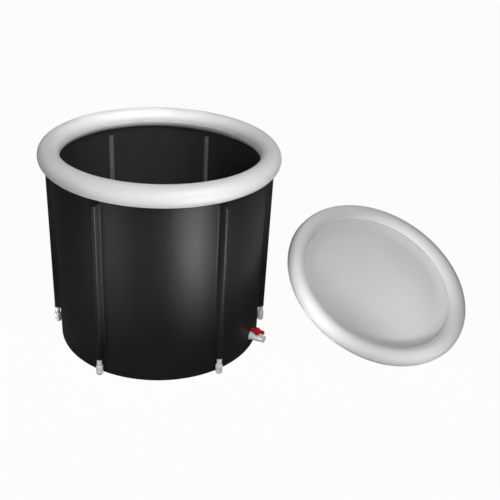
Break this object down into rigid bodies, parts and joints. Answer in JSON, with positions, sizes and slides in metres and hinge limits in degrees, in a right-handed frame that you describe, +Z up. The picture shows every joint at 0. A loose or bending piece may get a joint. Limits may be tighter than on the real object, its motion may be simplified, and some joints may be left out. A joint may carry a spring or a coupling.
{
  "type": "cold plunge tub",
  "caption": "Round soft-walled cold plunge tub with an inflated rim, sleeved support poles with foot caps, a drain valve and a separate inflated lid standing beside it.",
  "frame": {"origin": "centre of the tub's underside, on the floor", "axes": "+Z up along the tub's axis, +X towards the lid that stands beside the tub, +Y away from the side that the picture looks at"},
  "size_m": [1.6303, 0.8493, 0.7389],
  "materials": {
    "black_skin": "black coated fabric with a satin face",
    "liner_skin": "dark grey coated liner",
    "weld_tape": "grey coated tape, welded over the seams",
    "foam": "closed-cell foam sheet",
    "white_film": "welded white film, smooth and taut",
    "lid_sheet": "white coated sheet",
    "white_plastic": "moulded and drawn rigid plastic, white",
    "red_plastic": "moulded plastic, red",
    "seat_plastic": "turned slippery plastic, white",
    "ball_plastic": "polished plastic, light grey",
    "rubber": "moulded rubber",
    "steel": "zinc-plated steel"
  },
  "bodies": {
    "tub": {"outer_skin": "black_skin", "base_sheet": "black_skin", "rim_weld_tape": "black_skin", "pole_sleeve_1": "black_skin", "pole_sleeve_2": "black_skin", "pole_sleeve_3": "black_skin", "pole_sleeve_4": "black_skin", "pole_sleeve_5": "black_skin", "pole_sleeve_6": "black_skin", "inner_liner": "liner_skin", "floor_corner_tape": "liner_skin", "liner_weld_strips": "weld_tape", "wall_foam": "foam", "base_foam": "foam", "rim_ring": "white_film", "rim_valve_base": "white_film", "support_pole_1": "white_plastic", "support_pole_2": "white_plastic", "support_pole_3": "white_plastic", "support_pole_4": "white_plastic", "support_pole_5": "white_plastic", "support_pole_6": "white_plastic", "foot_cap_1": "white_plastic", "foot_cap_2": "white_plastic", "foot_cap_3": "white_plastic", "foot_cap_4": "white_plastic", "foot_cap_5": "white_plastic", "foot_cap_6": "white_plastic", "pole_top_plugs": "white_plastic", "drain_tail": "white_plastic", "drain_lock_nut": "white_plastic", "valve_body": "white_plastic", "valve_end": "white_plastic", "valve_seats": "seat_plastic", "drain_gasket_inner": "rubber", "drain_gasket_outer": "rubber", "rim_valve_flap": "rubber"},
    "drain_handle": {"valve_ball": "ball_plastic", "valve_stem": "white_plastic", "stem_o_ring": "rubber", "valve_handle": "red_plastic", "handle_screw": "steel"},
    "rim_cap": {"rim_valve_cap": "white_film"},
    "lid": {"lid_ring": "white_film", "lid_weld_band": "white_film", "lid_top_sheet": "lid_sheet", "lid_panel_foam": "foam", "lid_bottom_sheet": "lid_sheet", "lid_valve_base": "white_film", "lid_valve_flap": "rubber"},
    "lid_cap": {"lid_valve_cap": "white_film"}
  },
  "joints": [
    {"name": "drain_handle_turn", "type": "hinge", "parent": "tub", "child": "drain_handle", "pos_m": [0.35117, -0.20275, 0.056], "axis": [0, 0, 1], "range_deg": [0, 90]},
    {"name": "rim_cap_open", "type": "hinge", "parent": "tub", "child": "rim_cap", "pos_m": [0, 0.4258, 0.715], "axis": [1, 0, 0], "range_deg": [0, 110]},
    {"name": "lid_lift", "type": "slide", "parent": "tub", "child": "lid", "axis": [0, 0, 1], "range_m": [0, 0.8]},
    {"name": "lid_cap_open", "type": "hinge", "parent": "lid", "child": "lid_cap", "pos_m": [1.08515, 0.26974, 0.26592], "axis": [0.7511, -0.5185, -0.4086], "range_deg": [0, 110]}
  ]
}
